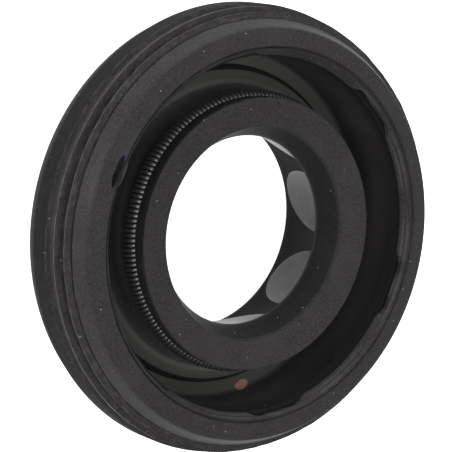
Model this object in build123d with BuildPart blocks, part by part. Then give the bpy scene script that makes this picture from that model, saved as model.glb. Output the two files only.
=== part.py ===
from build123d import *

import os
from math import radians, tan

# Radial shaft seal for a 12 mm shaft in a 26 mm bore, 7 mm wide, with a rubber outside.
# Three pieces: a stamped steel case ring, the rubber body moulded round it, and a garter spring.
#
# Frame: millimetres, origin at the centre of the flat back (air side) face, +Z along the
# seal's axis towards the spring side. Radii are from the axis and heights from the back face.

# ---- what the seal fits ------------------------------------------------------------------
shaft_diameter = 12.0
housing_bore = 26.0
seal_width = 7.0
lip_interference = 0.96  # on the diameter, free lip against shaft
press_allowance = 0.20  # on the diameter, free outside against housing

lip_radius = (shaft_diameter - lip_interference) / 2
outer_radius = (housing_bore + press_allowance) / 2

# ---- steel case ring ---------------------------------------------------------------------
sheet = 0.9
jacket_wall = 1.9  # rubber outside the case
back_cover = 1.05  # rubber behind the case floor
rim_cover = 0.75  # rubber in front of the case edge
case_bend = 0.35  # inside radius of the bend

case_outer_radius = outer_radius - jacket_wall
case_inner_radius = case_outer_radius - sheet
case_floor = back_cover + sheet  # height of the bare floor inside the cup
case_top = seal_width - rim_cover

# ---- jacket: the outside from back to front ----------------------------------------------
lead_in_height = 2.04
lead_in_angle = 38.5  # from the axis
taper_height = 1.07
taper_depth = 0.38
land_to_front = 2.70
shoulder_depth = 0.25
shoulder_run = 0.12
rib_crest = 0.10  # width of a rib's flat crest
rib_flank = 0.10  # each side of the crest
rear_rib_to_front = 2.01
rear_rib_depth = 0.15  # crest below the land
front_rib_to_front = 1.40
front_rib_depth = 0.42
valley_depth = 0.50  # between the ribs, below the land
groove_depth = 0.78  # in front of the front rib, below the land
groove_width = 0.12
back_edge_round = 0.08
taper_start_round = 0.30
land_back_round = 0.06
land_front_round = 0.05

taper_start_radius = outer_radius - taper_depth
back_face_radius = taper_start_radius - lead_in_height * tan(radians(lead_in_angle))
land_start = lead_in_height + taper_height
land_end = seal_width - land_to_front
shoulder_radius = outer_radius - shoulder_depth
valley_radius = outer_radius - valley_depth
groove_radius = outer_radius - groove_depth

# ---- front rim: chamfer, face, parting groove and bevel down to the case -----------------
face_outer_depth = 1.24  # below the land
face_drop = 0.24  # the face's outer edge below its inner edge
face_round = 0.15
face_inner_step = 0.56  # face's inner edge outside the case's inner wall
parting_width = 0.16
parting_depth = 0.22
bead_drop = 0.10  # bead's top below the face
bevel_foot = 0.08  # rubber edge left above the case edge
parting_round = 0.02
bead_round = 0.03

face_outer_radius = outer_radius - face_outer_depth
face_inner_radius = case_inner_radius + face_inner_step
bead_radius = face_inner_radius - parting_width

# six notches in the bevel, where the mould held the case by its edge
notch_count = 6
notch_first_angle = 48.0
notch_mouth = 3.8  # across the notch at the case's inner wall
notch_width = 2.3  # across its outer side
notch_height = 0.42
notch_depth = 0.36
notch_reach = 0.30  # cutter inside the case's inner wall
notch_corner_round = 0.50
notch_top_round = 0.15

notch_slope = (notch_mouth - notch_width) / 2 / notch_depth
notch_inner_half = notch_mouth / 2 + notch_reach * notch_slope

# ---- head with the sealing lip ------------------------------------------------------------
lip_to_front = 2.57
lip_land = 0.20
oil_angle = 25.3  # oil side of the lip, from the axis
head_inner_drop = 1.15  # head face's inner edge below the front
head_outer_drop = 0.83  # head face's outer edge below the front
head_radius_step = 2.38  # head's outside from the lip
air_angle = 12.4  # air side of the lip, from the axis
bore_lip_height = 0.60  # where the air side ends near the back face
bore_flare = 0.20
bore_lip_round = 0.10
bore_edge_round = 0.04
head_round = 0.10

lip_front = seal_width - lip_to_front
lip_back = lip_front - lip_land
head_inner_height = seal_width - head_inner_drop
head_outer_height = seal_width - head_outer_drop
head_inner_radius = lip_radius + (head_inner_height - lip_front) * tan(radians(oil_angle))
head_radius = lip_radius + head_radius_step
air_slope = tan(radians(air_angle))
bore_lip_radius = lip_radius + (lip_back - bore_lip_height) * air_slope
bore_back_radius = bore_lip_radius + bore_flare

# ---- garter spring and its groove ---------------------------------------------------------
coil_diameter = 1.20
spring_step = 2.10  # ring's centre line outside the lip
spring_ahead = 0.34  # ring's plane in front of the lip
spring_clearance = 0.02

spring_radius = lip_radius + spring_step
spring_height = lip_front + spring_ahead
seat_radius = coil_diameter / 2 + spring_clearance
seat_upper_angle = 62.0
seat_lower_angle = 265.0

# ---- flex section and the collar on the case floor ----------------------------------------
flex_step = 1.58  # outside of the flex section from the lip
flex_drop = 0.50  # below the seat's lower edge
root_round = 0.45
shoulder_step = 0.76  # collar's shoulder outside the spring's centre line
shoulder_rise = 0.80  # above the case floor
root_rise = 0.50
collar_round = 0.12
bare_floor = 0.85  # case floor left bare outside the collar
collar_rise = 0.39
collar_run = 0.28
floor_hole_step = 0.20  # case floor's hole outside the shoulder

flex_radius = lip_radius + flex_step
flex_top = spring_height - seat_radius - flex_drop
collar_shoulder_radius = spring_radius + shoulder_step
collar_radius = case_inner_radius - bare_floor
case_hole_radius = collar_shoulder_radius + floor_hole_step

# ---- raised pads on the air side of the lip -------------------------------------------------
pad_count = 7
pad_first_angle = -33.0
pad_half_width = 1.85
pad_length = 3.35
pad_rise = 0.16  # at the pad's rounded end

overlap = 0.05  # how far an added form reaches into the one that carries it


def rib(height, crest_radius, root_radius):
    """Outline points of a rib round the jacket, from back to front."""
    foot = rib_crest / 2 + rib_flank
    return [
        (root_radius[0], height - foot),
        (crest_radius, height - rib_crest / 2),
        (crest_radius, height + rib_crest / 2),
        (root_radius[1], height + foot),
    ]


# ---- case ring: a stamped cup with a wide hole ---------------------------------------------
with BuildPart() as case_ring:
    with BuildSketch(Plane.XZ) as case_section:
        with BuildLine():
            FilletPolyline(
                (case_hole_radius, back_cover),
                (case_outer_radius, back_cover),
                (case_outer_radius, case_top),
                radius=case_bend + sheet,
            )
            Line((case_outer_radius, case_top), (case_inner_radius, case_top))
            FilletPolyline(
                (case_inner_radius, case_top),
                (case_inner_radius, case_floor),
                (case_hole_radius, case_floor),
                radius=case_bend,
            )
            Line((case_hole_radius, case_floor), (case_hole_radius, back_cover))
        make_face()
    revolve(axis=Axis.Z)

# ---- pads: half ellipses standing on the air side of the lip -------------------------------
with BuildPart() as pad_post:
    with BuildSketch(Plane.YZ):
        with Locations((0, lip_back)):
            Ellipse(pad_half_width, pad_length)
            Rectangle(
                2 * pad_half_width,
                pad_length,
                align=(Align.CENTER, Align.MIN),
                mode=Mode.SUBTRACT,
            )
    extrude(amount=bore_back_radius)

with BuildPart() as pads:
    with PolarLocations(0, pad_count, start_angle=pad_first_angle):
        add(pad_post.part)
    with BuildSketch(Plane.XZ):
        pad_end = lip_back - pad_length
        pad_end_radius = lip_radius + pad_length * air_slope
        with BuildLine():
            Polyline(
                (lip_radius, lip_back),
                (pad_end_radius - pad_rise, pad_end),
                (pad_end_radius + overlap, pad_end),
                (lip_radius + overlap, lip_back),
                close=True,
            )
        make_face()
    revolve(axis=Axis.Z, mode=Mode.INTERSECT)

# ---- notch cutter: a block with sloped ends that reaches out from inside the rim -----------
with BuildPart() as notch:
    with BuildSketch(Plane.XY.offset(case_top)):
        with BuildLine():
            ends = FilletPolyline(
                (case_inner_radius - notch_reach, -notch_inner_half),
                (case_inner_radius + notch_depth, -notch_width / 2),
                (case_inner_radius + notch_depth, notch_width / 2),
                (case_inner_radius - notch_reach, notch_inner_half),
                radius=notch_corner_round,
            )
            Line(ends @ 1, ends @ 0)
        make_face()
    extrude(amount=notch_height)
    fillet(notch.faces().sort_by(Axis.Z)[-1].edges(), notch_top_round)

# ---- rubber body, moulded round the case ---------------------------------------------------
with BuildPart() as seal_body:
    with BuildSketch(Plane.XZ) as body_section:
        with BuildLine():
            # lip land, air side of the bore, back face and lead-in chamfer, up to the land
            back = FilletPolyline(
                (lip_radius, lip_front),
                (lip_radius, lip_back),
                (bore_lip_radius, bore_lip_height),
                (bore_back_radius, 0),
                (back_face_radius, 0),
                (taper_start_radius, lead_in_height),
                (outer_radius, land_start),
                (outer_radius, land_end),
                (shoulder_radius, land_end + shoulder_run),
                radius=(
                    0,
                    bore_lip_round,
                    bore_edge_round,
                    back_edge_round,
                    taper_start_round,
                    land_back_round,
                    land_front_round,
                ),
            )
            # two ribs and the groove in front of them
            rear_rib = rib(
                seal_width - rear_rib_to_front,
                outer_radius - rear_rib_depth,
                (shoulder_radius, valley_radius),
            )
            front_rib = rib(
                seal_width - front_rib_to_front,
                outer_radius - front_rib_depth,
                (valley_radius, groove_radius),
            )
            groove_front = (groove_radius, front_rib[-1][1] + groove_width)
            ribs = Polyline(back @ 1, *rear_rib, *front_rib, groove_front)
            # outer chamfer, front face, parting groove, bead and bevel
            rim = FilletPolyline(
                ribs @ 1,
                (face_outer_radius, seal_width - face_drop),
                (face_inner_radius, seal_width),
                (face_inner_radius - parting_width / 2, seal_width - parting_depth),
                (bead_radius, seal_width - bead_drop),
                (case_inner_radius, case_top + bevel_foot),
                radius=(face_round, 0, parting_round, bead_round),
            )
            # seat of the garter spring, round the inner half of its coil
            seat = CenterArc(
                (spring_radius, spring_height),
                seat_radius,
                seat_upper_angle,
                seat_lower_angle - seat_upper_angle,
            )
            # down the case's inner wall, over its bare floor, and up the collar and flex section
            FilletPolyline(
                rim @ 1,
                (case_inner_radius, case_floor),
                (collar_radius, case_floor),
                (collar_radius - collar_run, case_floor + collar_rise),
                (collar_shoulder_radius, case_floor + shoulder_rise),
                (flex_radius, case_floor + root_rise),
                (flex_radius, flex_top),
                seat @ 1,
                radius=(0, 0, collar_round, collar_round, root_round, 0),
            )
            # head: outside, face and oil side down to the lip
            FilletPolyline(
                seat @ 0,
                (head_radius, head_outer_height),
                (head_inner_radius, head_inner_height),
                (lip_radius, lip_front),
                radius=(head_round, head_round),
            )
        make_face()
    revolve(axis=Axis.Z)
    add(pads.part)
    with PolarLocations(0, notch_count, start_angle=notch_first_angle):
        add(notch.part, mode=Mode.SUBTRACT)
    add(case_ring.part, mode=Mode.SUBTRACT)

# ---- garter spring: the closed coil's envelope, resting in its seat -------------------------
with BuildPart() as garter_spring:
    with BuildSketch(Plane.XZ):
        with Locations((spring_radius, spring_height)):
            Circle(coil_diameter / 2)
    revolve(axis=Axis.Z)

os.makedirs("parts", exist_ok=True)

case_ring.part.label = "case_ring"
export_step(case_ring.part, "parts/case_ring.step")

seal_body.part.label = "seal_body"
export_step(seal_body.part, "parts/seal_body.step")

garter_spring.part.label = "garter_spring"
export_step(garter_spring.part, "parts/garter_spring.step")
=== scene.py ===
from functools import cached_property
from math import ceil, cos, pi, prod, radians, sin, tan

import bpy
from bpy.props import FloatProperty, FloatVectorProperty, IntProperty, PointerProperty
from bpy.types import Operator, Panel, PropertyGroup
from mathutils import Matrix, Vector


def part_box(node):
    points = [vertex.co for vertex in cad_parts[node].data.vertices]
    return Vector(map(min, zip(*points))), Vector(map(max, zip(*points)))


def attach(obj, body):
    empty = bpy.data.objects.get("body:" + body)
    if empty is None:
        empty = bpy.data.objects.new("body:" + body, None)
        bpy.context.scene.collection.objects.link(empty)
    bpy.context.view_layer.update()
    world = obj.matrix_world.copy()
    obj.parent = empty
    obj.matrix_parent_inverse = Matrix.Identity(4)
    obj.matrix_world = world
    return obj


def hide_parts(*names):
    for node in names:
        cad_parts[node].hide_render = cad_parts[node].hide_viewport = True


bl_info = {
    "name": "Radial shaft seal",
    "version": (1, 0, 0),
    "blender": (4, 5, 0),
    "location": "View3D > Sidebar > Shaft Seal",
    "description": "Builds the visible pieces of a rubber-covered shaft seal on its fixed frame",
    "category": "Add Mesh",
}

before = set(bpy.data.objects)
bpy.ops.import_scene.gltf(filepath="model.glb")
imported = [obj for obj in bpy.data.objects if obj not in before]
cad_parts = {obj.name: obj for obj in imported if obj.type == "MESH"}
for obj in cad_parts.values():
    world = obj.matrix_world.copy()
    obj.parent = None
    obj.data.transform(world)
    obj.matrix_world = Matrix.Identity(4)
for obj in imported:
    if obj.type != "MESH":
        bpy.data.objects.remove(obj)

MM = 0.001
WELD = 0.002 * MM  # corners nearer than this are one corner
SHAFT = 12.0 * MM  # the shaft that the seal is for
ALL_ROUND = 2 * pi


# ---- property helpers ----


def length(name, metres, description):
    """A size or a place, in metres."""
    return FloatProperty(
        name=name,
        description=description,
        default=metres,
        precision=5,
        unit="LENGTH",
        subtype="DISTANCE",
    )


def angle(name, degrees, description):
    """An angle, given in degrees and kept in radians."""
    turn = radians(degrees)
    return FloatProperty(
        name=name, description=description, default=turn, unit="ROTATION", subtype="ANGLE"
    )


def colour(name, rgb, description):
    """A linear colour."""
    return FloatVectorProperty(
        name=name, description=description, default=rgb, size=3, min=0, max=1, subtype="COLOR"
    )


def place(name, point, description):
    """A point or a direction in the seal's frame."""
    return FloatVectorProperty(
        name=name, description=description, default=point, size=3, precision=5, subtype="XYZ"
    )


def number(name, value, description):
    """A plain number."""
    return FloatProperty(name=name, description=description, default=value, precision=3)


def count(name, value, description):
    """A whole number."""
    return IntProperty(name=name, description=description, default=value, min=1)


NOTCH_TURNS = (45.5, -17.0, -78.0, -133.0, 168.0, 108.0)  # degrees round the rim, not quite even
FLOOR_GAP = 0.01 * MM  # floor under the seal, so that the two never share a plane
LEAST_KEPT = 0.99  # share of its width that a piece keeps when it is cut or joined
FAR = 0.5  # metres from the seal to a lamp
NEAR = 0.14
WIDE = 0.2  # metres across a lamp
SMALL = 0.05
LAMPS = (  # name, elevation and turn in degrees, distance, size, power in watts
    ("key_lamp", 45, 45, FAR, WIDE, 0.42),
    ("front_lamp", 24, 240, FAR, WIDE, 0.40),
    ("high_lamp", 68, 0, FAR, WIDE, 0.38),
    ("side_high_lamp", 68, 288, FAR, WIDE, 0.38),
    ("top_rim_lamp", 6, 92, FAR, WIDE, 1.20),
    ("left_rim_lamp", 9, 164, FAR, WIDE, 1.15),
    ("near_lamp", 52, 195, NEAR, SMALL, 0.026),
)


# ---- sizes read from the frame ----

body_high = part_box("seal_body")[1]
case_low, case_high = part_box("case_ring")
spring_low, spring_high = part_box("garter_spring")
coil_across = spring_high.z - spring_low.z


class BodySizes(PropertyGroup):
    """The moulded rubber: radii from the axis, heights from the back face."""

    outer_radius: length("Outer radius", body_high.x, "Free radius of the land")
    width: length("Width", body_high.z, "Back face to front face")
    steps: count("Steps", 420, "Facets round the rubber")
    longest_span: length("Longest span", 0.45 * MM, "Longest stretch of the section without a corner")
    lead_in_height: length("Lead-in height", 2.04 * MM, "Height of the back chamfer")
    lead_in_angle: angle("Lead-in angle", 38.5, "Back chamfer's slope from the axis")
    taper_height: length("Taper height", 1.07 * MM, "Taper between the back chamfer and the land")
    taper_depth: length("Taper depth", 0.38 * MM, "Taper's foot below the land")
    land_to_front: length("Land to front", 2.70 * MM, "Land's front edge to the front face")
    shoulder_depth: length("Shoulder depth", 0.25 * MM, "Step band below the land")
    shoulder_run: length("Shoulder run", 0.12 * MM, "Height of the step in front of the land")
    rib_crest: length("Rib crest", 0.10 * MM, "Width of a rib's crest")
    rib_flank: length("Rib flank", 0.10 * MM, "Height of a rib's flank")
    rear_rib_to_front: length("Rear rib", 2.01 * MM, "Rear rib to the front face")
    rear_rib_depth: length("Rear rib depth", 0.15 * MM, "Rear rib's crest below the land")
    front_rib_to_front: length("Front rib", 1.40 * MM, "Front rib to the front face")
    front_rib_depth: length("Front rib depth", 0.42 * MM, "Front rib's crest below the land")
    valley_depth: length("Valley depth", 0.50 * MM, "Valley between the ribs below the land")
    groove_depth: length("Groove depth", 0.78 * MM, "Groove in front of the ribs below the land")
    groove_width: length("Groove width", 0.12 * MM, "Floor of that groove")
    face_outer_depth: length("Face outer depth", 1.24 * MM, "Front face's outer edge below the land")
    face_drop: length("Face drop", 0.24 * MM, "Front face's outer edge behind its inner edge")
    face_round: length("Face round", 0.15 * MM, "Rounding of the front face's outer edge")
    face_inner_step: length("Face inner step", 0.56 * MM, "Front face's inner edge outside the case")
    parting_width: length("Parting width", 0.16 * MM, "Width of the parting groove")
    parting_depth: length("Parting depth", 0.22 * MM, "Depth of the parting groove")
    bead_drop: length("Bead drop", 0.10 * MM, "Bead's top behind the front face")
    bevel_foot: length("Bevel foot", 0.08 * MM, "Rubber left above the case's edge")
    lip_to_front: length("Lip to front", 2.57 * MM, "Sealing edge to the front face")
    lip_interference: length("Lip interference", 0.96 * MM, "Free lip under the shaft, on the diameter")
    lip_land: length("Lip land", 0.20 * MM, "Length of the lip's land")
    oil_angle: angle("Oil angle", 25.3, "Oil side of the lip from the axis")
    head_inner_drop: length("Head inner drop", 1.15 * MM, "Head face's inner edge behind the front")
    head_outer_drop: length("Head outer drop", 0.83 * MM, "Head face's outer edge behind the front")
    head_radius_step: length("Head step", 2.38 * MM, "Head's outside from the lip")
    head_round: length("Head round", 0.10 * MM, "Rounding of the head's edges")
    air_angle: angle("Air angle", 12.4, "Air side of the lip from the axis")
    bore_lip_height: length("Bore lip height", 0.60 * MM, "Where the air side ends")
    bore_flare: length("Bore flare", 0.20 * MM, "Flare of the bore's back edge")
    seat_clearance: length("Seat clearance", 0.02 * MM, "Spring to its seat")
    seat_upper: angle("Seat upper end", 62.0, "Where the spring's seat ends at the head")
    seat_lower: angle("Seat lower end", 265.0, "Where the spring's seat ends at the flex section")
    flex_step: length("Flex step", 1.58 * MM, "Outside of the flex section from the lip")
    flex_drop: length("Flex drop", 0.50 * MM, "Flex section's top below the seat")
    root_round: length("Root round", 0.45 * MM, "Rounding where the flex section meets the collar")
    shoulder_step: length("Collar step", 0.76 * MM, "Collar's shoulder outside the spring")
    shoulder_rise: length("Collar rise", 0.80 * MM, "Collar's shoulder above the case floor")
    root_rise: length("Root rise", 0.50 * MM, "Flex section's foot above the case floor")
    collar_round: length("Collar round", 0.12 * MM, "Rounding of the collar's corners")
    bare_floor: length("Bare floor", 0.85 * MM, "Case floor left bare")
    collar_edge_rise: length("Collar edge rise", 0.39 * MM, "Height of the collar's outer step")
    collar_edge_run: length("Collar edge run", 0.28 * MM, "Width of the collar's outer step")


class NotchSizes(PropertyGroup):
    """Notches in the rim's bevel, where the mould held the case."""

    mouth: length("Notch mouth", 3.6 * MM, "Across a notch at the case's inner wall")
    across: length("Notch width", 2.8 * MM, "Across a notch's outer side")
    height: length("Notch height", 0.42 * MM, "Height of a notch above the case's edge")
    depth: length("Notch depth", 0.28 * MM, "How far a notch cuts outside the case's inner wall")
    reach: length("Notch reach", 0.30 * MM, "Cutter inside the case's inner wall")
    edge_round: length("Notch rounding", 0.18 * MM, "Rounding of a notch's edges")


class PadSizes(PropertyGroup):
    """Raised half-elliptical pads on the air side of the lip."""

    number: count("Pads", 7, "How many pads")
    first: angle("First pad", -33.0, "Where the first pad is")
    half_width: length("Half width", 1.85 * MM, "Half of a pad's width at the lip")
    reach: length("Length", 3.35 * MM, "Pad's length along the bore")
    rise: length("Rise", 0.16 * MM, "Pad's height at its rounded end")
    edge_round: length("Edge rounding", 0.04 * MM, "Rounding of a pad's edges")


class CaseSizes(PropertyGroup):
    """The stamped steel ring."""

    outer_radius: length("Outer radius", case_high.x, "Outside of the ring's wall")
    sheet: length("Sheet", 0.9 * MM, "Thickness of the sheet")
    back: length("Back", case_low.z, "Height of the floor's underside")
    top: length("Top", case_high.z, "Height of the wall's edge")
    bend: length("Bend", 0.35 * MM, "Inside radius of the bend")
    hole_radius: length("Hole radius", 8.58 * MM, "Radius of the floor's hole")
    steps: count("Steps", 360, "Facets round the case")


class SpringSizes(PropertyGroup):
    """The closed-wound garter spring."""

    ring_radius: length("Ring radius", spring_high.x - coil_across / 2, "Centre line of the ring")
    height: length("Height", (spring_high.z + spring_low.z) / 2, "Height of the ring's plane")
    coil_radius: length("Coil radius", coil_across / 2, "Outside radius of the coil")
    wire: length("Wire", 0.24 * MM, "Diameter of the wire")
    turns: count("Turns", 180, "Turns all round the ring")
    steps: count("Steps", 16, "Facets along one turn")
    sides: count("Sides", 8, "Sides of the wire")
    joint: angle("Joint", 144.0, "Where the two ends meet")
    end_gap: length("End gap", 0.02 * MM, "Left between the two ends")


class FinishColours(PropertyGroup):
    """Colours of the rubber, the coated steel, the spring and the marks on them, with painted light,
    shade and highlights among them.
    """

    rubber_low: colour("Rubber, low", (0.0185, 0.0170, 0.0175), "Rubber between its grains")
    rubber_high: colour("Rubber, high", (0.0385, 0.0355, 0.0365), "Rubber on its grains")
    rubber_patch: colour("Rubber patches", (0.0385, 0.036, 0.0365), "Paler patches")
    land: colour("Land", (0.007, 0.007, 0.007), "Land round the outside")
    # painted highlight along the ribs' crests
    rib_crest: colour("Rib crests", (0.15, 0.148, 0.147), "Rubbed crests")
    # painted shade in the recesses between the ribs
    rib_valley_shade: colour("Rib valleys", (0.004, 0.004, 0.004), "Between the ribs")
    streak: colour("Streaks", (0.075, 0.066, 0.062), "Streaks round the outside")
    # painted light lifting the shaded bottom of the cup
    cup: colour("Cup", (0.095, 0.095, 0.09), "Bottom of the cup")
    # painted light lifting the shaded groove behind the spring
    trough_painted_light: colour("Trough", (0.064, 0.061, 0.061), "Behind the spring")
    # painted shade in the crevice of the collar's step
    step: colour("Collar step", (0.010, 0.010, 0.010), "Step of the collar")
    # painted highlight along the edge of the collar's shoulder
    shoulder: colour("Shoulder", (0.17, 0.168, 0.165), "Edge of the collar's shoulder")
    # painted highlights along the edges over the case
    bevel: colour("Bevel", (0.115, 0.113, 0.108), "Pale edges over the case")
    bore: colour("Bore", (0.030, 0.0275, 0.0285), "Air side of the lip")
    # painted shade on the inward-facing oil side of the lip
    oil_side_shade: colour("Oil side", (0.006, 0.006, 0.006), "Oil side of the lip")
    pad_low: colour("Pad, low", (0.010, 0.010, 0.014), "Darker waves of the pads")
    pad_high: colour("Pad, high", (0.026, 0.026, 0.032), "Paler waves of the pads")
    coat_low: colour("Coat, low", (0.050, 0.045, 0.048), "Darker patches of the coat")
    coat_high: colour("Coat, high", (0.056, 0.051, 0.053), "Paler patches of the coat")
    # painted shade: the coat darkens up the wall towards the rim
    coat_rim_shade: colour("Coat at the rim", (0.0072, 0.0064, 0.0068), "Towards the rim")
    # painted shade: darkest band at the wall's edge beside the rubber
    coat_edge_shade: colour("Coat's edge", (0.008, 0.008, 0.008), "Beside the rubber")
    # painted light: lighter coat on the cup's floor
    coat_floor_light: colour("Coat's floor", (0.075, 0.075, 0.07), "Floor of the cup")
    wire: colour("Wire", (0.18, 0.176, 0.172), "Spring wire")
    wire_stain: colour("Wire stain", (0.15, 0.10, 0.085), "Stained spring wire")
    purple: colour("Purple stain", (0.045, 0.03, 0.055), "Stain beside the tear")
    scuff: colour("Scuff", (0.10, 0.10, 0.10), "Scuff by the ribs")
    scratch: colour("Scratch", (0.2, 0.2, 0.2), "Short scratch")
    rust: colour("Rust", (0.10, 0.045, 0.038), "Rust specks")
    red_mark: colour("Red mark", (0.34, 0.20, 0.18), "Bare mark on the floor")
    fine_dust: colour("Fine dust", (0.22, 0.22, 0.21), "Finer dust")
    dust: colour("Dust", (0.45, 0.45, 0.43), "Coarser dust")
    steel_dust: colour("Dust on steel", (0.35, 0.34, 0.33), "Dust on the coat")


class StageSettings(PropertyGroup):
    """Camera, floor and surroundings."""

    camera_at: place("Camera", (-74.878 * MM, 15.248 * MM, 105.954 * MM), "Where the camera is")
    looks_at: place("Looks at", (-2.406 * MM, 0.512 * MM, 6.17 * MM), "The middle of the view")
    upright: place("Upright", (0, 0.98927, -0.14611), "What is upright in the view")
    lens: number("Lens", 175.22, "Focal length on a 36 mm sensor")
    floor_size: length("Floor", 3.0, "Side of the floor")
    floor_colour: colour("Floor colour", (0.80, 0.80, 0.80), "Colour of the floor")
    backdrop: number("Backdrop", 0.95, "Brightness of the floor to the camera and in reflections")
    sky: number("Sky", 0.62, "Brightness of the surroundings")


# ---- modelling helpers ----


def deselect():
    """Leaves nothing selected."""
    bpy.ops.object.select_all(action="DESELECT")


def edit_all():
    """Opens the active mesh for editing with all of it selected."""
    bpy.ops.object.mode_set(mode="EDIT")
    bpy.ops.mesh.select_all(action="SELECT")


def leave_edit():
    """Ends editing."""
    bpy.ops.object.mode_set(mode="OBJECT")


def apply_place():
    """Moves the active object's place, turn and size into its mesh."""
    bpy.ops.object.transform_apply(location=True, rotation=True, scale=True)


def named(name):
    """The active object, with a name of its own for it and its mesh."""
    piece = bpy.context.object
    piece.name = name
    piece.data.name = name
    return piece


def activate(piece):
    """Makes a piece the only selected one."""
    deselect()
    piece.select_set(True)
    bpy.context.view_layer.objects.active = piece


def rounded(corners, widest_turn=radians(20)):
    """Points of a closed outline, its corners (radius, height, fillet) rounded by arcs."""
    points = []
    befores = corners[-1:] + corners[:-1]
    afters = corners[1:] + corners[:1]
    for before, corner, after in zip(befores, corners, afters):
        here = Vector(corner[:2])
        fillet = corner[2]
        if not fillet:
            points.append(here)
            continue
        back = (Vector(before[:2]) - here).normalized()
        ahead = (Vector(after[:2]) - here).normalized()
        half = back.angle(ahead) / 2
        centre = here + (back + ahead).normalized() * fillet / sin(half)
        start = here + back * fillet / tan(half) - centre
        end = here + ahead * fillet / tan(half) - centre
        turn = start.angle_signed(end)
        parts = max(2, ceil(abs(turn) / widest_turn))
        points += [centre + Matrix.Rotation(-turn * k / parts, 2) @ start for k in range(parts + 1)]
    return points


def divided(points, longest):
    """The same closed outline with its long spans divided evenly."""
    found = []
    for here, there in zip(points, points[1:] + points[:1]):
        parts = max(1, ceil((there - here).length / longest))
        found += [here.lerp(there, k / parts) for k in range(parts)]
    return found


def wound(piece, steps, turns=1, rise=0):
    """Winds a piece's outline about the Z axis, each turn rising by so much."""
    wind = piece.modifiers.new("wind", "SCREW")
    wind.axis = "Z"
    wind.angle = ALL_ROUND
    wind.screw_offset = rise
    wind.steps = steps
    wind.render_steps = steps
    wind.iterations = turns
    wind.use_merge_vertices = True
    wind.merge_threshold = WELD
    bpy.ops.object.modifier_apply(modifier=wind.name)


def spun_ring(name, outline, steps):
    """Draws a closed outline (radius, height) corner by corner and spins it into a solid ring."""
    deselect()
    start = outline[0]
    bpy.ops.mesh.primitive_plane_add(size=MM, location=(start.x, 0, start.y))
    ring = named(name)
    apply_place()
    edit_all()
    bpy.ops.mesh.merge(type="CENTER")
    for here, there in zip(outline, outline[1:] + outline[:1]):
        move = (there.x - here.x, 0, there.y - here.y)
        bpy.ops.mesh.extrude_vertices_move(TRANSFORM_OT_translate={"value": move})
    bpy.ops.mesh.select_all(action="SELECT")
    bpy.ops.mesh.remove_doubles(threshold=WELD)
    leave_edit()
    wound(ring, steps)
    edit_all()
    bpy.ops.mesh.normals_make_consistent(inside=False)
    leave_edit()
    return ring


def placed_copies(piece, turns):
    """One joined mesh made of a piece copied to each turn about the axis, in radians."""
    copies = []
    for turn in turns:
        copy = piece.copy()
        copy.data = piece.data.copy()
        copy.data.transform(Matrix.Rotation(turn, 4, "Z"))
        bpy.context.collection.objects.link(copy)
        copies.append(copy)
    bpy.data.objects.remove(piece)
    deselect()
    for copy in copies:
        copy.select_set(True)
    bpy.context.view_layer.objects.active = copies[0]
    bpy.ops.object.join()
    return bpy.context.object


def size_across(piece):
    """A piece's extent along X."""
    along = [corner.co.x for corner in piece.data.vertices]
    return max(along) - min(along) if along else 0


def combine(piece, operation, other):
    """Joins to, cuts from or keeps within a piece another closed mesh, which is used up."""
    activate(piece)
    before = size_across(piece)
    step = piece.modifiers.new(operation.lower(), "BOOLEAN")
    step.operation = operation
    step.solver = "EXACT"
    step.object = other
    bpy.ops.object.modifier_apply(modifier=step.name)
    if operation != "INTERSECT" and size_across(piece) < LEAST_KEPT * before:
        raise RuntimeError(f"{operation} with {other.name} lost most of {piece.name}")
    bpy.data.objects.remove(other)


def roughened(piece, name, chosen, size, strength, direction="NORMAL"):
    """Moves the chosen corners of a piece unevenly, in lumps of about a size."""
    activate(piece)
    group = piece.vertex_groups.new(name=name)
    group.add([v.index for v in piece.data.vertices if chosen(v.co)], 1.0, "REPLACE")
    lumps = bpy.data.textures.new(name, "CLOUDS")
    lumps.noise_scale = size
    lumps.noise_depth = 2
    uneven = piece.modifiers.new(name, "DISPLACE")
    uneven.texture = lumps
    uneven.texture_coords = "LOCAL"
    uneven.vertex_group = name
    uneven.direction = direction
    uneven.mid_level = 0.5
    uneven.strength = strength
    bpy.ops.object.modifier_apply(modifier=uneven.name)


def without_slivers(piece):
    """Dissolves the zero-area faces that joining leaves along touching edges."""
    activate(piece)
    edit_all()
    bpy.ops.mesh.dissolve_degenerate(threshold=WELD / 2)
    leave_edit()


def soften_edges(piece, width):
    """Rounds a piece's sharp edges."""
    activate(piece)
    soft = piece.modifiers.new("soft", "BEVEL")
    soft.width = width
    soft.segments = 3
    soft.limit_method = "ANGLE"
    soft.angle_limit = radians(50)
    bpy.ops.object.modifier_apply(modifier=soft.name)


def smooth(piece, degrees=28):
    """Shades a piece smooth, except over its sharp edges."""
    activate(piece)
    bpy.ops.object.shade_smooth_by_angle(angle=radians(degrees))


def settle(piece, node):
    """Hands a finished piece to the frame in place of a CAD node."""
    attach(piece, "root")
    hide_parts(node)


# ---- finishes ----


class Value:
    """One output of a shader node, so that sums on it read as plain arithmetic."""

    def __init__(self, finish, socket):
        self.finish = finish
        self.socket = socket

    def math(self, operation, *operands, clamp=False):
        settings = {"operation": operation, "use_clamp": clamp}
        return self.finish.node("ShaderNodeMath", settings, dict(enumerate(operands)))

    def __add__(self, other):
        return self.math("ADD", self, other)

    __radd__ = __add__

    def __sub__(self, other):
        return self.math("SUBTRACT", self, other)

    def __rsub__(self, other):
        return self.math("SUBTRACT", other, self)

    def __mul__(self, other):
        return self.math("MULTIPLY", self, other)

    __rmul__ = __mul__

    def __truediv__(self, other):
        return self.math("DIVIDE", self, other)

    def __rtruediv__(self, other):
        return self.math("DIVIDE", other, self)

    def rise(self, low, high):
        """0 below low, 1 above high and a smooth rise between; low above high makes it fall."""
        settings = {"interpolation_type": "SMOOTHSTEP"}
        sockets = {"Value": self, "From Min": low, "From Max": high}
        return self.finish.node("ShaderNodeMapRange", settings, sockets)


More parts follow.
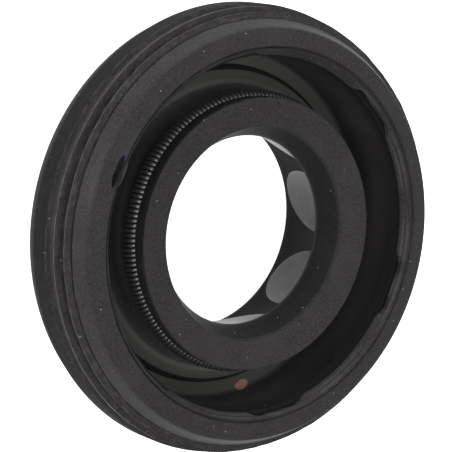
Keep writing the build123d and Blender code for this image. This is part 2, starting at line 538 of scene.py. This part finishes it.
class Finish:
    """A material, built from plain calls."""

    def __init__(self, name):
        self.material = bpy.data.materials.new(name)
        self.material.use_nodes = True
        self.tree = self.material.node_tree
        self.tree.nodes.clear()

    @cached_property
    def point(self):
        """Place on the piece, in metres."""
        return self.node("ShaderNodeTexCoord", output="Object")

    @cached_property
    def place(self):
        """That point's three numbers, the last of them its height."""
        return self.axes(self.point)

    @cached_property
    def off_axis(self):
        """Distance from the seal's axis."""
        x, y, _ = self.place
        return x.math("SQRT", x * x + y * y)

    def node(self, kind, settings=None, sockets=None, output=0):
        """Adds a node, sets it up, feeds its sockets and returns one of its outputs."""
        node = self.tree.nodes.new(kind)
        for key, value in (settings or {}).items():
            setattr(node, key, value)
        for key, value in (sockets or {}).items():
            self.feed(node.inputs[key], value)
        return Value(self, node.outputs[output]) if node.outputs else node

    def feed(self, socket, value):
        """Links a value to a socket or writes it there."""
        if isinstance(value, Value):
            self.tree.links.new(value.socket, socket)
        elif socket.type == "RGBA" and len(value) == 3:
            socket.default_value = (*value, 1)
        else:
            socket.default_value = value

    def axes(self, point):
        """The three numbers of a point or a colour."""
        x = self.node("ShaderNodeSeparateXYZ", sockets={0: point})
        return x, Value(self, x.socket.node.outputs[1]), Value(self, x.socket.node.outputs[2])

    def ring(self, starts=None, ends=None, above=None, below=None):
        """1 in a ring of the section, each limit a pair of millimetres that it fades between."""
        masks = []
        if starts:
            masks.append(self.off_axis.rise(starts[0] * MM, starts[1] * MM))
        if ends:
            masks.append(self.off_axis.rise(ends[1] * MM, ends[0] * MM))
        if above:
            masks.append(self.place[2].rise(above[0] * MM, above[1] * MM))
        if below:
            masks.append(self.place[2].rise(below[1] * MM, below[0] * MM))
        return prod(masks[1:], start=masks[0])

    def hoops(self, *heights, fade=0.03):
        """1 between each pair of heights in millimetres, all round the ring."""
        masks = [self.ring(above=(a - fade, a), below=(b, b + fade)) for a, b in heights]
        return sum(masks[1:], start=masks[0])

    def noise(self, size, detail=3, roughness=0.5, point=None):
        """Noise whose lumps are about that size, in metres."""
        sockets = {"Scale": 1 / size, "Detail": detail, "Roughness": roughness}
        sockets["Vector"] = point or self.point
        return self.node("ShaderNodeTexNoise", sockets=sockets, output="Fac")

    def mix(self, factor, first, second):
        """One colour turning into another."""
        sockets = {0: factor, 6: first, 7: second}
        return self.node("ShaderNodeMix", {"data_type": "RGBA"}, sockets, output=2)

    def specks(self, spacing, size, share):
        """Dots of about a size, in a share of the cells of a random pattern."""
        sockets = {"Vector": self.point, "Scale": 1 / spacing}
        near = self.node("ShaderNodeTexVoronoi", sockets=sockets, output="Distance")
        cell = Value(self, near.socket.node.outputs["Color"])
        picked = self.axes(cell)[0].rise(share, share * 0.98)
        return near.rise(size / spacing, size / spacing * 0.5) * picked

    def spot(self, centre, reach):
        """1 at a centre, falling to 0 at an uneven edge as far off as each reach."""
        parts = [(axis - c) / r for axis, c, r in zip(self.place, centre, reach)]
        far = parts[0] * parts[0] + parts[1] * parts[1] + parts[2] * parts[2]
        uneven = self.noise(0.25 * MM)
        return (far + 0.8 * (uneven - 0.5)).rise(1.1, 0.5)

    def bump(self, height, distance, strength=1.0):
        """A surface normal tilted by a height that varies from 0 to 1."""
        sockets = {"Height": height, "Distance": distance, "Strength": strength}
        return self.node("ShaderNodeBump", sockets=sockets)

    def surface(self, sockets):
        """Ends the tree in one principled surface."""
        shader = self.node("ShaderNodeBsdfPrincipled", sockets=sockets)
        self.node("ShaderNodeOutputMaterial", sockets={"Surface": shader})
        return self.material


def on_ring(radius, turn, height):
    """A point in the seal's frame, from its radius, its turn in degrees and its height."""
    return Vector((radius * cos(radians(turn)), radius * sin(radians(turn)), height))


def outside_tones(finish, colours, base, outside):
    """Dark land, painted highlights on the ribs' crests, painted shade between the ribs, and fine
    streaks round the outside.
    """
    land = finish.ring(starts=(12.9, 13.0), below=(4.26, 4.34))
    base = finish.mix(0.85 * land, base, colours.land)
    # painted highlights along the ribs' crests and the land's front edge, broken up by noise
    crests = finish.hoops((4.97, 5.01), (5.58, 5.62)) + 0.4 * finish.hoops((4.28, 4.32))
    crest_highlight_breakup = finish.noise(0.5 * MM, detail=5, roughness=0.7).rise(0.40, 0.60)
    base = finish.mix(0.40 * outside * crests * crest_highlight_breakup, base, colours.rib_crest)
    # painted shade darkening the recesses between the ribs
    valley_shade = finish.hoops((5.18, 5.40), (5.76, 5.88))
    base = finish.mix(0.7 * outside * valley_shade, base, colours.rib_valley_shade)
    x, y, height = finish.place
    drawn_out = {0: x * 0.12, 1: y * 0.12, 2: height}
    streak_point = finish.node("ShaderNodeCombineXYZ", sockets=drawn_out)
    streaks = finish.noise(0.09 * MM, roughness=0.6, point=streak_point).rise(0.5, 0.68)
    return finish.mix(0.40 * outside * streaks * (1 - 0.7 * land), base, colours.streak)


def inside_tones(finish, colours, base, patches, bore):
    """Painted light in the cup and behind the spring, painted shade on the collar's step and the lip's
    oil side, painted highlights on the collar's shoulder and the edges over the case, and the bore's
    tone.
    """
    # painted light lifting the shaded bottom of the cup
    cup = finish.ring(starts=(8.20, 8.32), ends=(10.20, 10.25), above=(1.40, 1.50), below=(3.1, 3.3))
    base = finish.mix(0.85 * cup, base, colours.cup)
    # painted light lifting the shaded groove behind the spring
    trough_painted_light = finish.ring(starts=(6.95, 7.05), ends=(8.30, 8.50), above=(1.40, 1.50), below=(3.3, 3.5))
    base = finish.mix(0.85 * trough_painted_light, base, colours.trough_painted_light)
    # painted shade in the crevice of the collar's step
    step = finish.ring(starts=(9.11, 9.14), ends=(9.42, 9.45), above=(1.40, 1.50), below=(2.5, 2.6))
    base = finish.mix(0.8 * step, base, colours.step)
    # painted highlights along the edges over the case, broken up by patches
    bevel = finish.ring(starts=(10.37, 10.40), ends=(10.43, 10.46))
    bevel = bevel + finish.ring(starts=(10.53, 10.56), ends=(10.59, 10.62))
    bevel = bevel * finish.ring(above=(6.2, 6.3)) * patches.rise(0.35, 0.6)
    base = finish.mix(0.30 * bevel, base, colours.bevel)
    # painted highlight along the edge of the collar's shoulder
    shoulder = finish.ring(starts=(8.34, 8.42), ends=(8.60, 8.68), above=(2.55, 2.6), below=(2.85, 2.9))
    base = finish.mix(0.3 * shoulder, base, colours.shoulder)
    base = finish.mix(bore, base, colours.bore)
    # painted shade on the inward-facing oil side of the lip
    oil_side_shade = finish.ring(ends=(6.08, 6.12), above=(4.40, 4.45))
    return finish.mix(0.6 * oil_side_shade, base, colours.oil_side_shade)


def rubber_marks(finish, colours, base, bore):
    """Purple stain, scuff, scratch, rust specks and two sizes of dust."""
    purple = finish.spot(on_ring(10.8 * MM, 155.5, 6.8 * MM), (0.35 * MM, 0.55 * MM, 0.4 * MM))
    base = finish.mix(0.45 * purple, base, colours.purple)
    scuff = finish.spot(on_ring(12.3 * MM, 141, 5.6 * MM), (0.9 * MM, 1.1 * MM, 0.8 * MM))
    scuff = scuff * finish.noise(0.16 * MM, detail=4).rise(0.46, 0.6)
    base = finish.mix(0.15 * scuff, base, colours.scuff)
    scratch = finish.spot(on_ring(12.3 * MM, 79, 6.3 * MM), (0.3 * MM, 0.07 * MM, 0.2 * MM))
    base = finish.mix(0.8 * scratch, base, colours.scratch)
    rust = finish.specks(spacing=0.62 * MM, size=0.06 * MM, share=0.10)
    base = finish.mix(0.6 * rust, base, colours.rust)
    fine_dust = finish.specks(spacing=0.27 * MM, size=0.024 * MM, share=0.14)
    base = finish.mix(0.5 * fine_dust * (1 - bore), base, colours.fine_dust)
    dust = finish.specks(spacing=0.45 * MM, size=0.036 * MM, share=0.22)
    return finish.mix(dust * (1 - bore), base, colours.dust)


def rubber_finish(colours):
    """Black moulded rubber with a sanded mould's grain, painted highlights and shade round its ribs and
    edges, painted light in its cup, dust and scuffs.
    """
    finish = Finish("moulded_rubber")
    grain = finish.noise(0.11 * MM, detail=4, roughness=0.7)
    patches = finish.noise(1.8 * MM)
    outside = finish.ring(starts=(12.2, 12.35))
    bore = finish.ring(ends=(6.8, 6.9), below=(4.20, 4.30))
    rear = finish.ring(starts=(11.3, 11.4), below=(4.3, 4.5))
    polished = finish.ring(starts=(11.90, 11.98), ends=(12.40, 12.48), above=(5.7, 5.8))
    base = finish.mix(grain.rise(0.34, 0.68), colours.rubber_low, colours.rubber_high)
    base = finish.mix(0.35 * patches.rise(0.45, 0.7), base, colours.rubber_patch)
    base = outside_tones(finish, colours, base, outside)
    base = inside_tones(finish, colours, base, patches, bore)
    base = rubber_marks(finish, colours, base, bore)
    return finish.surface(
        {
            "Base Color": base,
            "Roughness": 0.42 + 0.14 * patches - 0.17 * outside + 0.35 * bore + 0.45 * rear,
            "Normal": finish.bump(grain, 0.022 * MM),
            "IOR": 1.16,
            "Coat Weight": 0.08 * polished,
            "Coat Roughness": 0.28,
        }
    )


def pad_finish(colours):
    """The same rubber, moulded against a polished part of the mould."""
    finish = Finish("polished_rubber")
    waves = finish.noise(0.8 * MM, detail=4)
    return finish.surface(
        {
            "Base Color": finish.mix(waves.rise(0.35, 0.65), colours.pad_low, colours.pad_high),
            "Roughness": 0.30 + 0.10 * waves,
            "Normal": finish.bump(waves, 0.03 * MM, strength=0.5),
            "Specular IOR Level": 0.05,
            "Coat Weight": 0.5,
            "Coat Roughness": 0.2,
        }
    )


def case_finish(colours):
    """Dark bonding coat on smooth stamped steel, with painted shade darkening its wall towards the rim,
    painted light on its floor and one bare reddish mark on its floor.
    """
    finish = Finish("coated_steel")
    patches = finish.noise(1.2 * MM)
    base = finish.mix(patches.rise(0.4, 0.7), colours.coat_low, colours.coat_high)
    # painted shade darkening the wall towards the rim and at its edge, and painted light on the floor
    base = finish.mix(finish.ring(above=(3.6, 6.5)), base, colours.coat_rim_shade)
    base = finish.mix(finish.ring(above=(6.15, 6.22)), base, colours.coat_edge_shade)
    base = finish.mix(0.8 * finish.ring(below=(1.98, 2.1)), base, colours.coat_floor_light)
    reach = (0.38 * MM, 0.25 * MM, 0.4 * MM)
    mark = finish.spot(on_ring(10.14 * MM, -75.0, 1.97 * MM), reach)
    mark = mark + finish.spot(on_ring(10.02 * MM, -73.4, 1.97 * MM), reach)
    base = finish.mix(mark.math("MINIMUM", mark, 0.85), base, colours.red_mark)
    dust = finish.specks(spacing=0.9 * MM, size=0.05 * MM, share=0.05)
    base = finish.mix(dust, base, colours.steel_dust)
    return finish.surface(
        {"Base Color": base, "Roughness": 0.55 + 0.15 * patches, "Specular IOR Level": 0.12}
    )


def spring_finish(colours):
    """Dark oiled spring wire."""
    finish = Finish("spring_wire")
    stains = finish.noise(0.9 * MM, detail=2)
    base = finish.mix(stains.rise(0.6, 0.72), colours.wire, colours.wire_stain)
    return finish.surface({"Base Color": base, "Roughness": 0.36, "Metallic": 0.85})


def floor_finish(stage):
    """Pale floor that shows white to the camera and in reflections, and keeps its shadow."""
    finish = Finish("pale_floor")
    path = finish.node("ShaderNodeLightPath", output="Is Camera Ray")
    glossy = Value(finish, path.socket.node.outputs["Is Glossy Ray"])
    through = Value(finish, path.socket.node.outputs["Is Transmission Ray"])
    seen = path.math("ADD", path, glossy + through, clamp=True)
    matte = finish.node("ShaderNodeBsdfDiffuse", sockets={"Color": tuple(stage.floor_colour)})
    glow = finish.node(
        "ShaderNodeEmission", sockets={"Color": (1, 1, 1), "Strength": stage.backdrop}
    )
    both = finish.node("ShaderNodeAddShader", sockets={0: matte, 1: glow})
    mixed = finish.node("ShaderNodeMixShader", sockets={0: seen, 1: matte, 2: both})
    finish.node("ShaderNodeOutputMaterial", sockets={"Surface": mixed})
    return finish.material


# ---- outlines ----


def lip_radius(body):
    """Radius of the free sealing edge: half of the shaft less half of the interference."""
    return (SHAFT - body.lip_interference) / 2


def rib_corners(body, height, crest, foot_behind, foot_ahead):
    """Corners of a rib round the outside, from back to front."""
    foot = body.rib_crest / 2 + body.rib_flank
    return [
        (foot_behind, height - foot, 0),
        (crest, height - body.rib_crest / 2, 0),
        (crest, height + body.rib_crest / 2, 0),
        (foot_ahead, height + foot, 0),
    ]


def outside_corners(body):
    """The outside from the back face up to the groove in front of the ribs."""
    outer = body.outer_radius
    front = body.width
    taper_start = outer - body.taper_depth
    back_radius = taper_start - body.lead_in_height * tan(body.lead_in_angle)
    land_end = front - body.land_to_front
    shoulder = outer - body.shoulder_depth
    valley = outer - body.valley_depth
    groove = outer - body.groove_depth
    rear = front - body.rear_rib_to_front
    ahead = front - body.front_rib_to_front
    groove_start = ahead + body.rib_crest / 2 + body.rib_flank
    return [
        (back_radius, 0, 0.08 * MM),
        (taper_start, body.lead_in_height, 0.3 * MM),
        (outer, body.lead_in_height + body.taper_height, 0.06 * MM),
        (outer, land_end, 0.05 * MM),
        (shoulder, land_end + body.shoulder_run, 0.03 * MM),
        *rib_corners(body, rear, outer - body.rear_rib_depth, shoulder, valley),
        *rib_corners(body, ahead, outer - body.front_rib_depth, valley, groove),
        (groove, groove_start + body.groove_width, 0.04 * MM),
    ]


def rim_corners(body, case, inner):
    """Chamfer, front face, parting groove, bead and bevel, down to the case's wall."""
    front = body.width
    face_inner = inner + body.face_inner_step
    return [
        (body.outer_radius - body.face_outer_depth, front - body.face_drop, body.face_round),
        (face_inner, front, 0.05 * MM),
        (face_inner - body.parting_width / 2, front - body.parting_depth, 0.02 * MM),
        (face_inner - body.parting_width, front - body.bead_drop, 0.03 * MM),
        (inner, case.top + body.bevel_foot, 0.02 * MM),
    ]


def case_side_corners(case, inner):
    """Round the outside of the case: its edge, wall, bend, floor and hole."""
    return [
        (inner, case.top, 0),
        (case.outer_radius, case.top, 0),
        (case.outer_radius, case.back, case.bend + case.sheet),
        (case.hole_radius, case.back, 0),
        (case.hole_radius, case.back + case.sheet, 0),
    ]


def collar_corners(body, case, spring, inner, flex_top):
    """Collar on the case floor and the flex section up to the spring's seat."""
    floor = case.back + case.sheet
    collar = inner - body.bare_floor
    shoulder = spring.ring_radius + body.shoulder_step
    flex = lip_radius(body) + body.flex_step
    return [
        (collar, floor, 0),
        (collar - body.collar_edge_run, floor + body.collar_edge_rise, body.collar_round),
        (shoulder, floor + body.shoulder_rise, body.collar_round),
        (flex, floor + body.root_rise, body.root_round),
        (flex, flex_top, 0),
    ]


def seat_corners(body, spring, parts=20):
    """Round the inner half of the coil, from the flex section to the head."""
    radius = spring.coil_radius + body.seat_clearance
    sweep = body.seat_upper - body.seat_lower
    turns = [body.seat_lower + sweep * k / parts for k in range(parts + 1)]
    return [
        (spring.ring_radius + radius * cos(t), spring.height + radius * sin(t), 0) for t in turns
    ]


def head_corners(body):
    """Head's outside, face and oil side, the lip's land, the air side and the bore's back edge."""
    lip = lip_radius(body)
    lip_front = body.width - body.lip_to_front
    lip_back = lip_front - body.lip_land
    inner_height = body.width - body.head_inner_drop
    outer_height = body.width - body.head_outer_drop
    inner_radius = lip + (inner_height - lip_front) * tan(body.oil_angle)
    bore_lip = lip + (lip_back - body.bore_lip_height) * tan(body.air_angle)
    return [
        (lip + body.head_radius_step, outer_height, body.head_round),
        (inner_radius, inner_height, body.head_round),
        (lip, lip_front, 0),
        (lip, lip_back, 0),
        (bore_lip, body.bore_lip_height, 0.1 * MM),
        (bore_lip + body.bore_flare, 0, 0.04 * MM),
    ]


# ---- operators ----


class SEAL_OT_body(Operator):
    """Moulded rubber with its lip, ribs, rim notches and air-side pads"""

    bl_idname = "seal.body"
    bl_label = "Rubber body"

    def execute(self, context):
        body = context.scene.seal_body
        case = context.scene.seal_case
        spring = context.scene.seal_spring
        inner = case.outer_radius - case.sheet
        flex_top = spring.height - spring.coil_radius - body.seat_clearance - body.flex_drop
        corners = (
            outside_corners(body)
            + rim_corners(body, case, inner)
            + case_side_corners(case, inner)
            + collar_corners(body, case, spring, inner, flex_top)
            + seat_corners(body, spring)
            + head_corners(body)
        )
        outline = divided(rounded(corners), body.longest_span)
        rubber = spun_ring("rubber_body", outline, body.steps)
        colours = context.scene.seal_finish
        rubber.data.materials.append(rubber_finish(colours))
        rubber.data.materials.append(pad_finish(colours))
        self.raggedness(rubber, body, inner)
        combine(rubber, "DIFFERENCE", self.notches(context.scene.seal_notch, case, inner))
        self.torn_rim(rubber)
        combine(rubber, "UNION", self.pads(context.scene.seal_pad, body))
        without_slivers(rubber)
        smooth(rubber)
        settle(rubber, "seal_body")
        return {"FINISHED"}

    def raggedness(self, rubber, body, inner):
        """Nicked ribs, a wavering parting line and an uneven edge over the case."""
        valley = body.outer_radius - body.valley_depth
        face_inner = inner + body.face_inner_step
        beside = 0.12 * MM
        rib_low = body.width - body.rear_rib_to_front - beside
        rib_high = body.width - body.front_rib_to_front + beside

        def far(point):
            return (point.x**2 + point.y**2) ** 0.5

        def on_ribs(point):
            return far(point) > valley + 0.03 * MM and rib_low < point.z < rib_high

        def on_parting(point):
            across = face_inner - 0.14 * MM < far(point) < face_inner - 0.02 * MM
            return across and point.z > body.width - 0.3 * MM

        def on_bevel(point):
            across = inner - 0.02 * MM < far(point) < face_inner - 0.3 * MM
            return across and body.width - 0.72 * MM < point.z < body.width - 0.2 * MM

        roughened(rubber, "ribs", on_ribs, 0.80 * MM, 0.06 * MM)
        roughened(rubber, "parting", on_parting, 0.9 * MM, 0.10 * MM, "Z")
        roughened(rubber, "bevel", on_bevel, 1.1 * MM, 0.10 * MM, "Z")

    def lump(self, name, spot, turn, reach, uneven):
        """A closed uneven lump, as far across as its reach along, round and up."""
        deselect()
        bpy.ops.mesh.primitive_ico_sphere_add(
            subdivisions=4, radius=1, location=spot, rotation=(0, 0, radians(turn)), scale=reach
        )
        lump = named(name)
        apply_place()
        roughened(lump, name, lambda p: True, 0.3 * MM, uneven)
        return lump

    def torn_rim(self, rubber, turn=161):
        """A pocket torn in the rim, with a strip of flash standing on its inner side."""
        pocket = on_ring(11.03 * MM, turn, 6.85 * MM)
        flash = on_ring(10.56 * MM, turn, 6.62 * MM)
        wide = (0.22 * MM, 0.95 * MM, 0.42 * MM)
        thin = (0.15 * MM, 0.80 * MM, 0.26 * MM)
        combine(rubber, "DIFFERENCE", self.lump("pocket", pocket, turn, wide, 0.12 * MM))
        combine(rubber, "UNION", self.lump("flash", flash, turn, thin, 0.06 * MM))

    def notches(self, notch, case, inner):
        """Uneven blocks with sloped ends that stand where the rim is cut away."""
        slope = (notch.mouth - notch.across) / notch.depth
        widest = notch.mouth + notch.reach * slope
        outer = inner + notch.depth
        deselect()
        bpy.ops.mesh.primitive_cube_add(size=1)
        block = named("notch_cutter")
        block.scale = (notch.reach + notch.depth, widest, 2 * notch.height)
        block.location = (outer - (notch.reach + notch.depth) / 2, 0, case.top)
        apply_place()
        edit_all()
        bpy.ops.mesh.select_all(action="DESELECT")
        bpy.ops.mesh.select_mode(type="VERT")
        leave_edit()
        for corner in block.data.vertices:
            corner.select = corner.co.x > inner
        bpy.ops.object.mode_set(mode="EDIT")
        bpy.ops.transform.resize(
            value=(1, notch.across / widest, 1), center_override=(outer, 0, case.top)
        )
        bpy.ops.mesh.select_all(action="SELECT")
        bpy.ops.mesh.bevel(offset=notch.edge_round, segments=4, affect="EDGES")
        bpy.ops.mesh.select_all(action="SELECT")
        bpy.ops.mesh.subdivide(number_cuts=2)
        leave_edit()
        blocks = placed_copies(block, [radians(turn) for turn in NOTCH_TURNS])
        roughened(blocks, "notch_edges", lambda p: True, 0.9 * MM, 0.05 * MM)
        return blocks

    def pads(self, pad, body):
        """Half-elliptical pads that rise towards the back of the bore."""
        lip = lip_radius(body)
        lip_back = body.width - body.lip_to_front - body.lip_land
        end = lip_back - pad.reach
        end_radius = lip + pad.reach * tan(body.air_angle)
        sunk = 0.05 * MM
        post_inside = 1 * MM
        post_length = 2.5 * MM
        deselect()
        bpy.ops.mesh.primitive_circle_add(
            vertices=96, radius=1, fill_type="NGON", rotation=(0, pi / 2, 0)
        )
        post = named("pad_post")
        post.scale = (pad.reach, pad.half_width, 1)
        post.location = (lip - post_inside, 0, lip_back)
        apply_place()
        edit_all()
        bpy.ops.mesh.extrude_region_move(TRANSFORM_OT_translate={"value": (post_length, 0, 0)})
        bpy.ops.mesh.select_all(action="SELECT")
        bpy.ops.mesh.normals_make_consistent(inside=False)
        bpy.ops.mesh.bisect(
            plane_co=(0, 0, lip_back - WELD), plane_no=(0, 0, 1), clear_outer=True, use_fill=True
        )
        leave_edit()
        turns = [pad.first + k * ALL_ROUND / pad.number for k in range(pad.number)]
        posts = placed_copies(post, turns)
        section = [
            Vector((lip, lip_back)),
            Vector((lip + sunk, lip_back)),
            Vector((end_radius + sunk, end)),
            Vector((end_radius - pad.rise, end)),
        ]
        pads = spun_ring("pads", section, body.steps)
        combine(pads, "INTERSECT", posts)
        soften_edges(pads, pad.edge_round)
        pads.data.materials.append(bpy.data.materials["polished_rubber"])
        return pads


class SEAL_OT_case(Operator):
    """Stamped steel ring, bare inside the cup"""

    bl_idname = "seal.case"
    bl_label = "Case ring"

    def execute(self, context):
        case = context.scene.seal_case
        inner = case.outer_radius - case.sheet
        floor = case.back + case.sheet
        corners = [
            (case.hole_radius, case.back, 0),
            (case.outer_radius, case.back, case.bend + case.sheet),
            (case.outer_radius, case.top, 0),
            (inner, case.top, 0),
            (inner, floor, case.bend),
            (case.hole_radius, floor, 0),
        ]
        ring = spun_ring("steel_case", rounded(corners), case.steps)
        ring.data.materials.append(case_finish(context.scene.seal_finish))
        smooth(ring)
        settle(ring, "case_ring")
        return {"FINISHED"}


class SEAL_OT_spring(Operator):
    """Closed-wound coil bent into a ring and joined"""

    bl_idname = "seal.spring"
    bl_label = "Garter spring"

    def execute(self, context):
        spring = context.scene.seal_spring
        around_ring = ALL_ROUND * spring.ring_radius
        deselect()
        bpy.ops.mesh.primitive_circle_add(
            vertices=spring.sides,
            radius=spring.wire / 2,
            location=(spring.coil_radius - spring.wire / 2, 0, 0),
            rotation=(pi / 2, 0, 0),
        )
        coil = named("spring_coil")
        apply_place()
        pitch = (around_ring - spring.end_gap) / spring.turns
        wound(coil, spring.steps, spring.turns, pitch)
        coil.rotation_euler = (0, pi / 2, 0)
        coil.location = ((spring.end_gap - around_ring) / 2, 0, 0)
        apply_place()
        bend = coil.modifiers.new("bend", "SIMPLE_DEFORM")
        bend.deform_method = "BEND"
        bend.deform_axis = "Z"
        bend.angle = ALL_ROUND * (around_ring - spring.end_gap + spring.wire) / around_ring
        bpy.ops.object.modifier_apply(modifier=bend.name)
        coil.location = (0, -spring.ring_radius, spring.height)
        apply_place()
        coil.rotation_euler = (0, 0, spring.joint - pi / 2)
        apply_place()
        edit_all()
        bpy.ops.mesh.select_non_manifold()
        bpy.ops.mesh.edge_face_add()
        bpy.ops.mesh.select_all(action="SELECT")
        bpy.ops.mesh.normals_make_consistent(inside=False)
        leave_edit()
        coil.data.materials.append(spring_finish(context.scene.seal_finish))
        smooth(coil, degrees=60)
        settle(coil, "garter_spring")
        return {"FINISHED"}


class SEAL_OT_stage(Operator):
    """Floor, soft lamps, surroundings and camera"""

    bl_idname = "seal.stage"
    bl_label = "Stage"

    def execute(self, context):
        stage = context.scene.seal_stage
        context.scene.view_settings.view_transform = "Standard"
        deselect()
        bpy.ops.mesh.primitive_plane_add(size=stage.floor_size, location=(0, 0, -FLOOR_GAP))
        floor = named("floor")
        floor.data.materials.append(floor_finish(stage))
        self.surroundings(context, stage)
        self.lamps()
        self.camera(context, stage)
        return {"FINISHED"}

    def surroundings(self, context, stage):
        """A plain bright room."""
        world = bpy.data.worlds.new("room")
        world.use_nodes = True
        background = world.node_tree.nodes["Background"]
        background.inputs["Color"].default_value = (1, 1, 1, 1)
        background.inputs["Strength"].default_value = stage.sky
        context.scene.world = world

    def lamps(self):
        """Round soft boxes, each given by its name, elevation, turn, distance, size and power."""
        for name, elevation, turn, distance, size, power in LAMPS:
            flat = Matrix.Rotation(radians(turn), 3, "Z") @ Vector((cos(radians(elevation)), 0, 0))
            spot = distance * (flat + Vector((0, 0, sin(radians(elevation)))))
            deselect()
            aim = (-spot).to_track_quat("-Z", "Y").to_euler()
            bpy.ops.object.light_add(type="AREA", location=spot, rotation=aim)
            lamp = bpy.context.object
            lamp.name = name
            lamp.data.shape = "DISK"
            lamp.data.size = size
            lamp.data.energy = power

    def camera(self, context, stage):
        """A long lens, turned so that the seal stands upright in the view."""
        eye = Vector(stage.camera_at)
        back = (eye - Vector(stage.looks_at)).normalized()
        right = Vector(stage.upright).cross(back).normalized()
        up = back.cross(right)
        deselect()
        bpy.ops.object.camera_add()
        camera = context.object
        camera.name = "view"
        camera.matrix_world = Matrix((right, up, back)).transposed().to_4x4()
        camera.location = eye
        camera.data.sensor_width = 36
        camera.data.lens = stage.lens
        camera.data.clip_start = 1 * MM
        context.scene.camera = camera


class SEAL_PT_pieces(Panel):
    """Lists what can be built."""

    bl_label = "Shaft seal"
    bl_space_type = "VIEW_3D"
    bl_region_type = "UI"
    bl_category = "Shaft Seal"

    def draw(self, context):
        for operator in OPERATORS:
            self.layout.operator(operator.bl_idname)
        for group in GROUPS:
            box = self.layout.box()
            box.label(text=group.__doc__)
            for key in group.__annotations__:
                box.prop(getattr(context.scene, GROUPS[group]), key)


# ---- registration ----

OPERATORS = (SEAL_OT_body, SEAL_OT_case, SEAL_OT_spring, SEAL_OT_stage)
GROUPS = {
    BodySizes: "seal_body",
    NotchSizes: "seal_notch",
    PadSizes: "seal_pad",
    CaseSizes: "seal_case",
    SpringSizes: "seal_spring",
    FinishColours: "seal_finish",
    StageSettings: "seal_stage",
}


def register():
    for cls in (*GROUPS, *OPERATORS, SEAL_PT_pieces):
        bpy.utils.register_class(cls)
    for group, name in GROUPS.items():
        setattr(bpy.types.Scene, name, PointerProperty(type=group))


def unregister():
    for name in GROUPS.values():
        delattr(bpy.types.Scene, name)
    for cls in reversed((*GROUPS, *OPERATORS, SEAL_PT_pieces)):
        bpy.utils.unregister_class(cls)


def main():
    """Registers the add-on and builds everything."""
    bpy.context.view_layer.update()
    register()
    bpy.ops.seal.body()
    bpy.ops.seal.case()
    bpy.ops.seal.spring()
    bpy.ops.seal.stage()


if __name__ == "__main__":
    main()
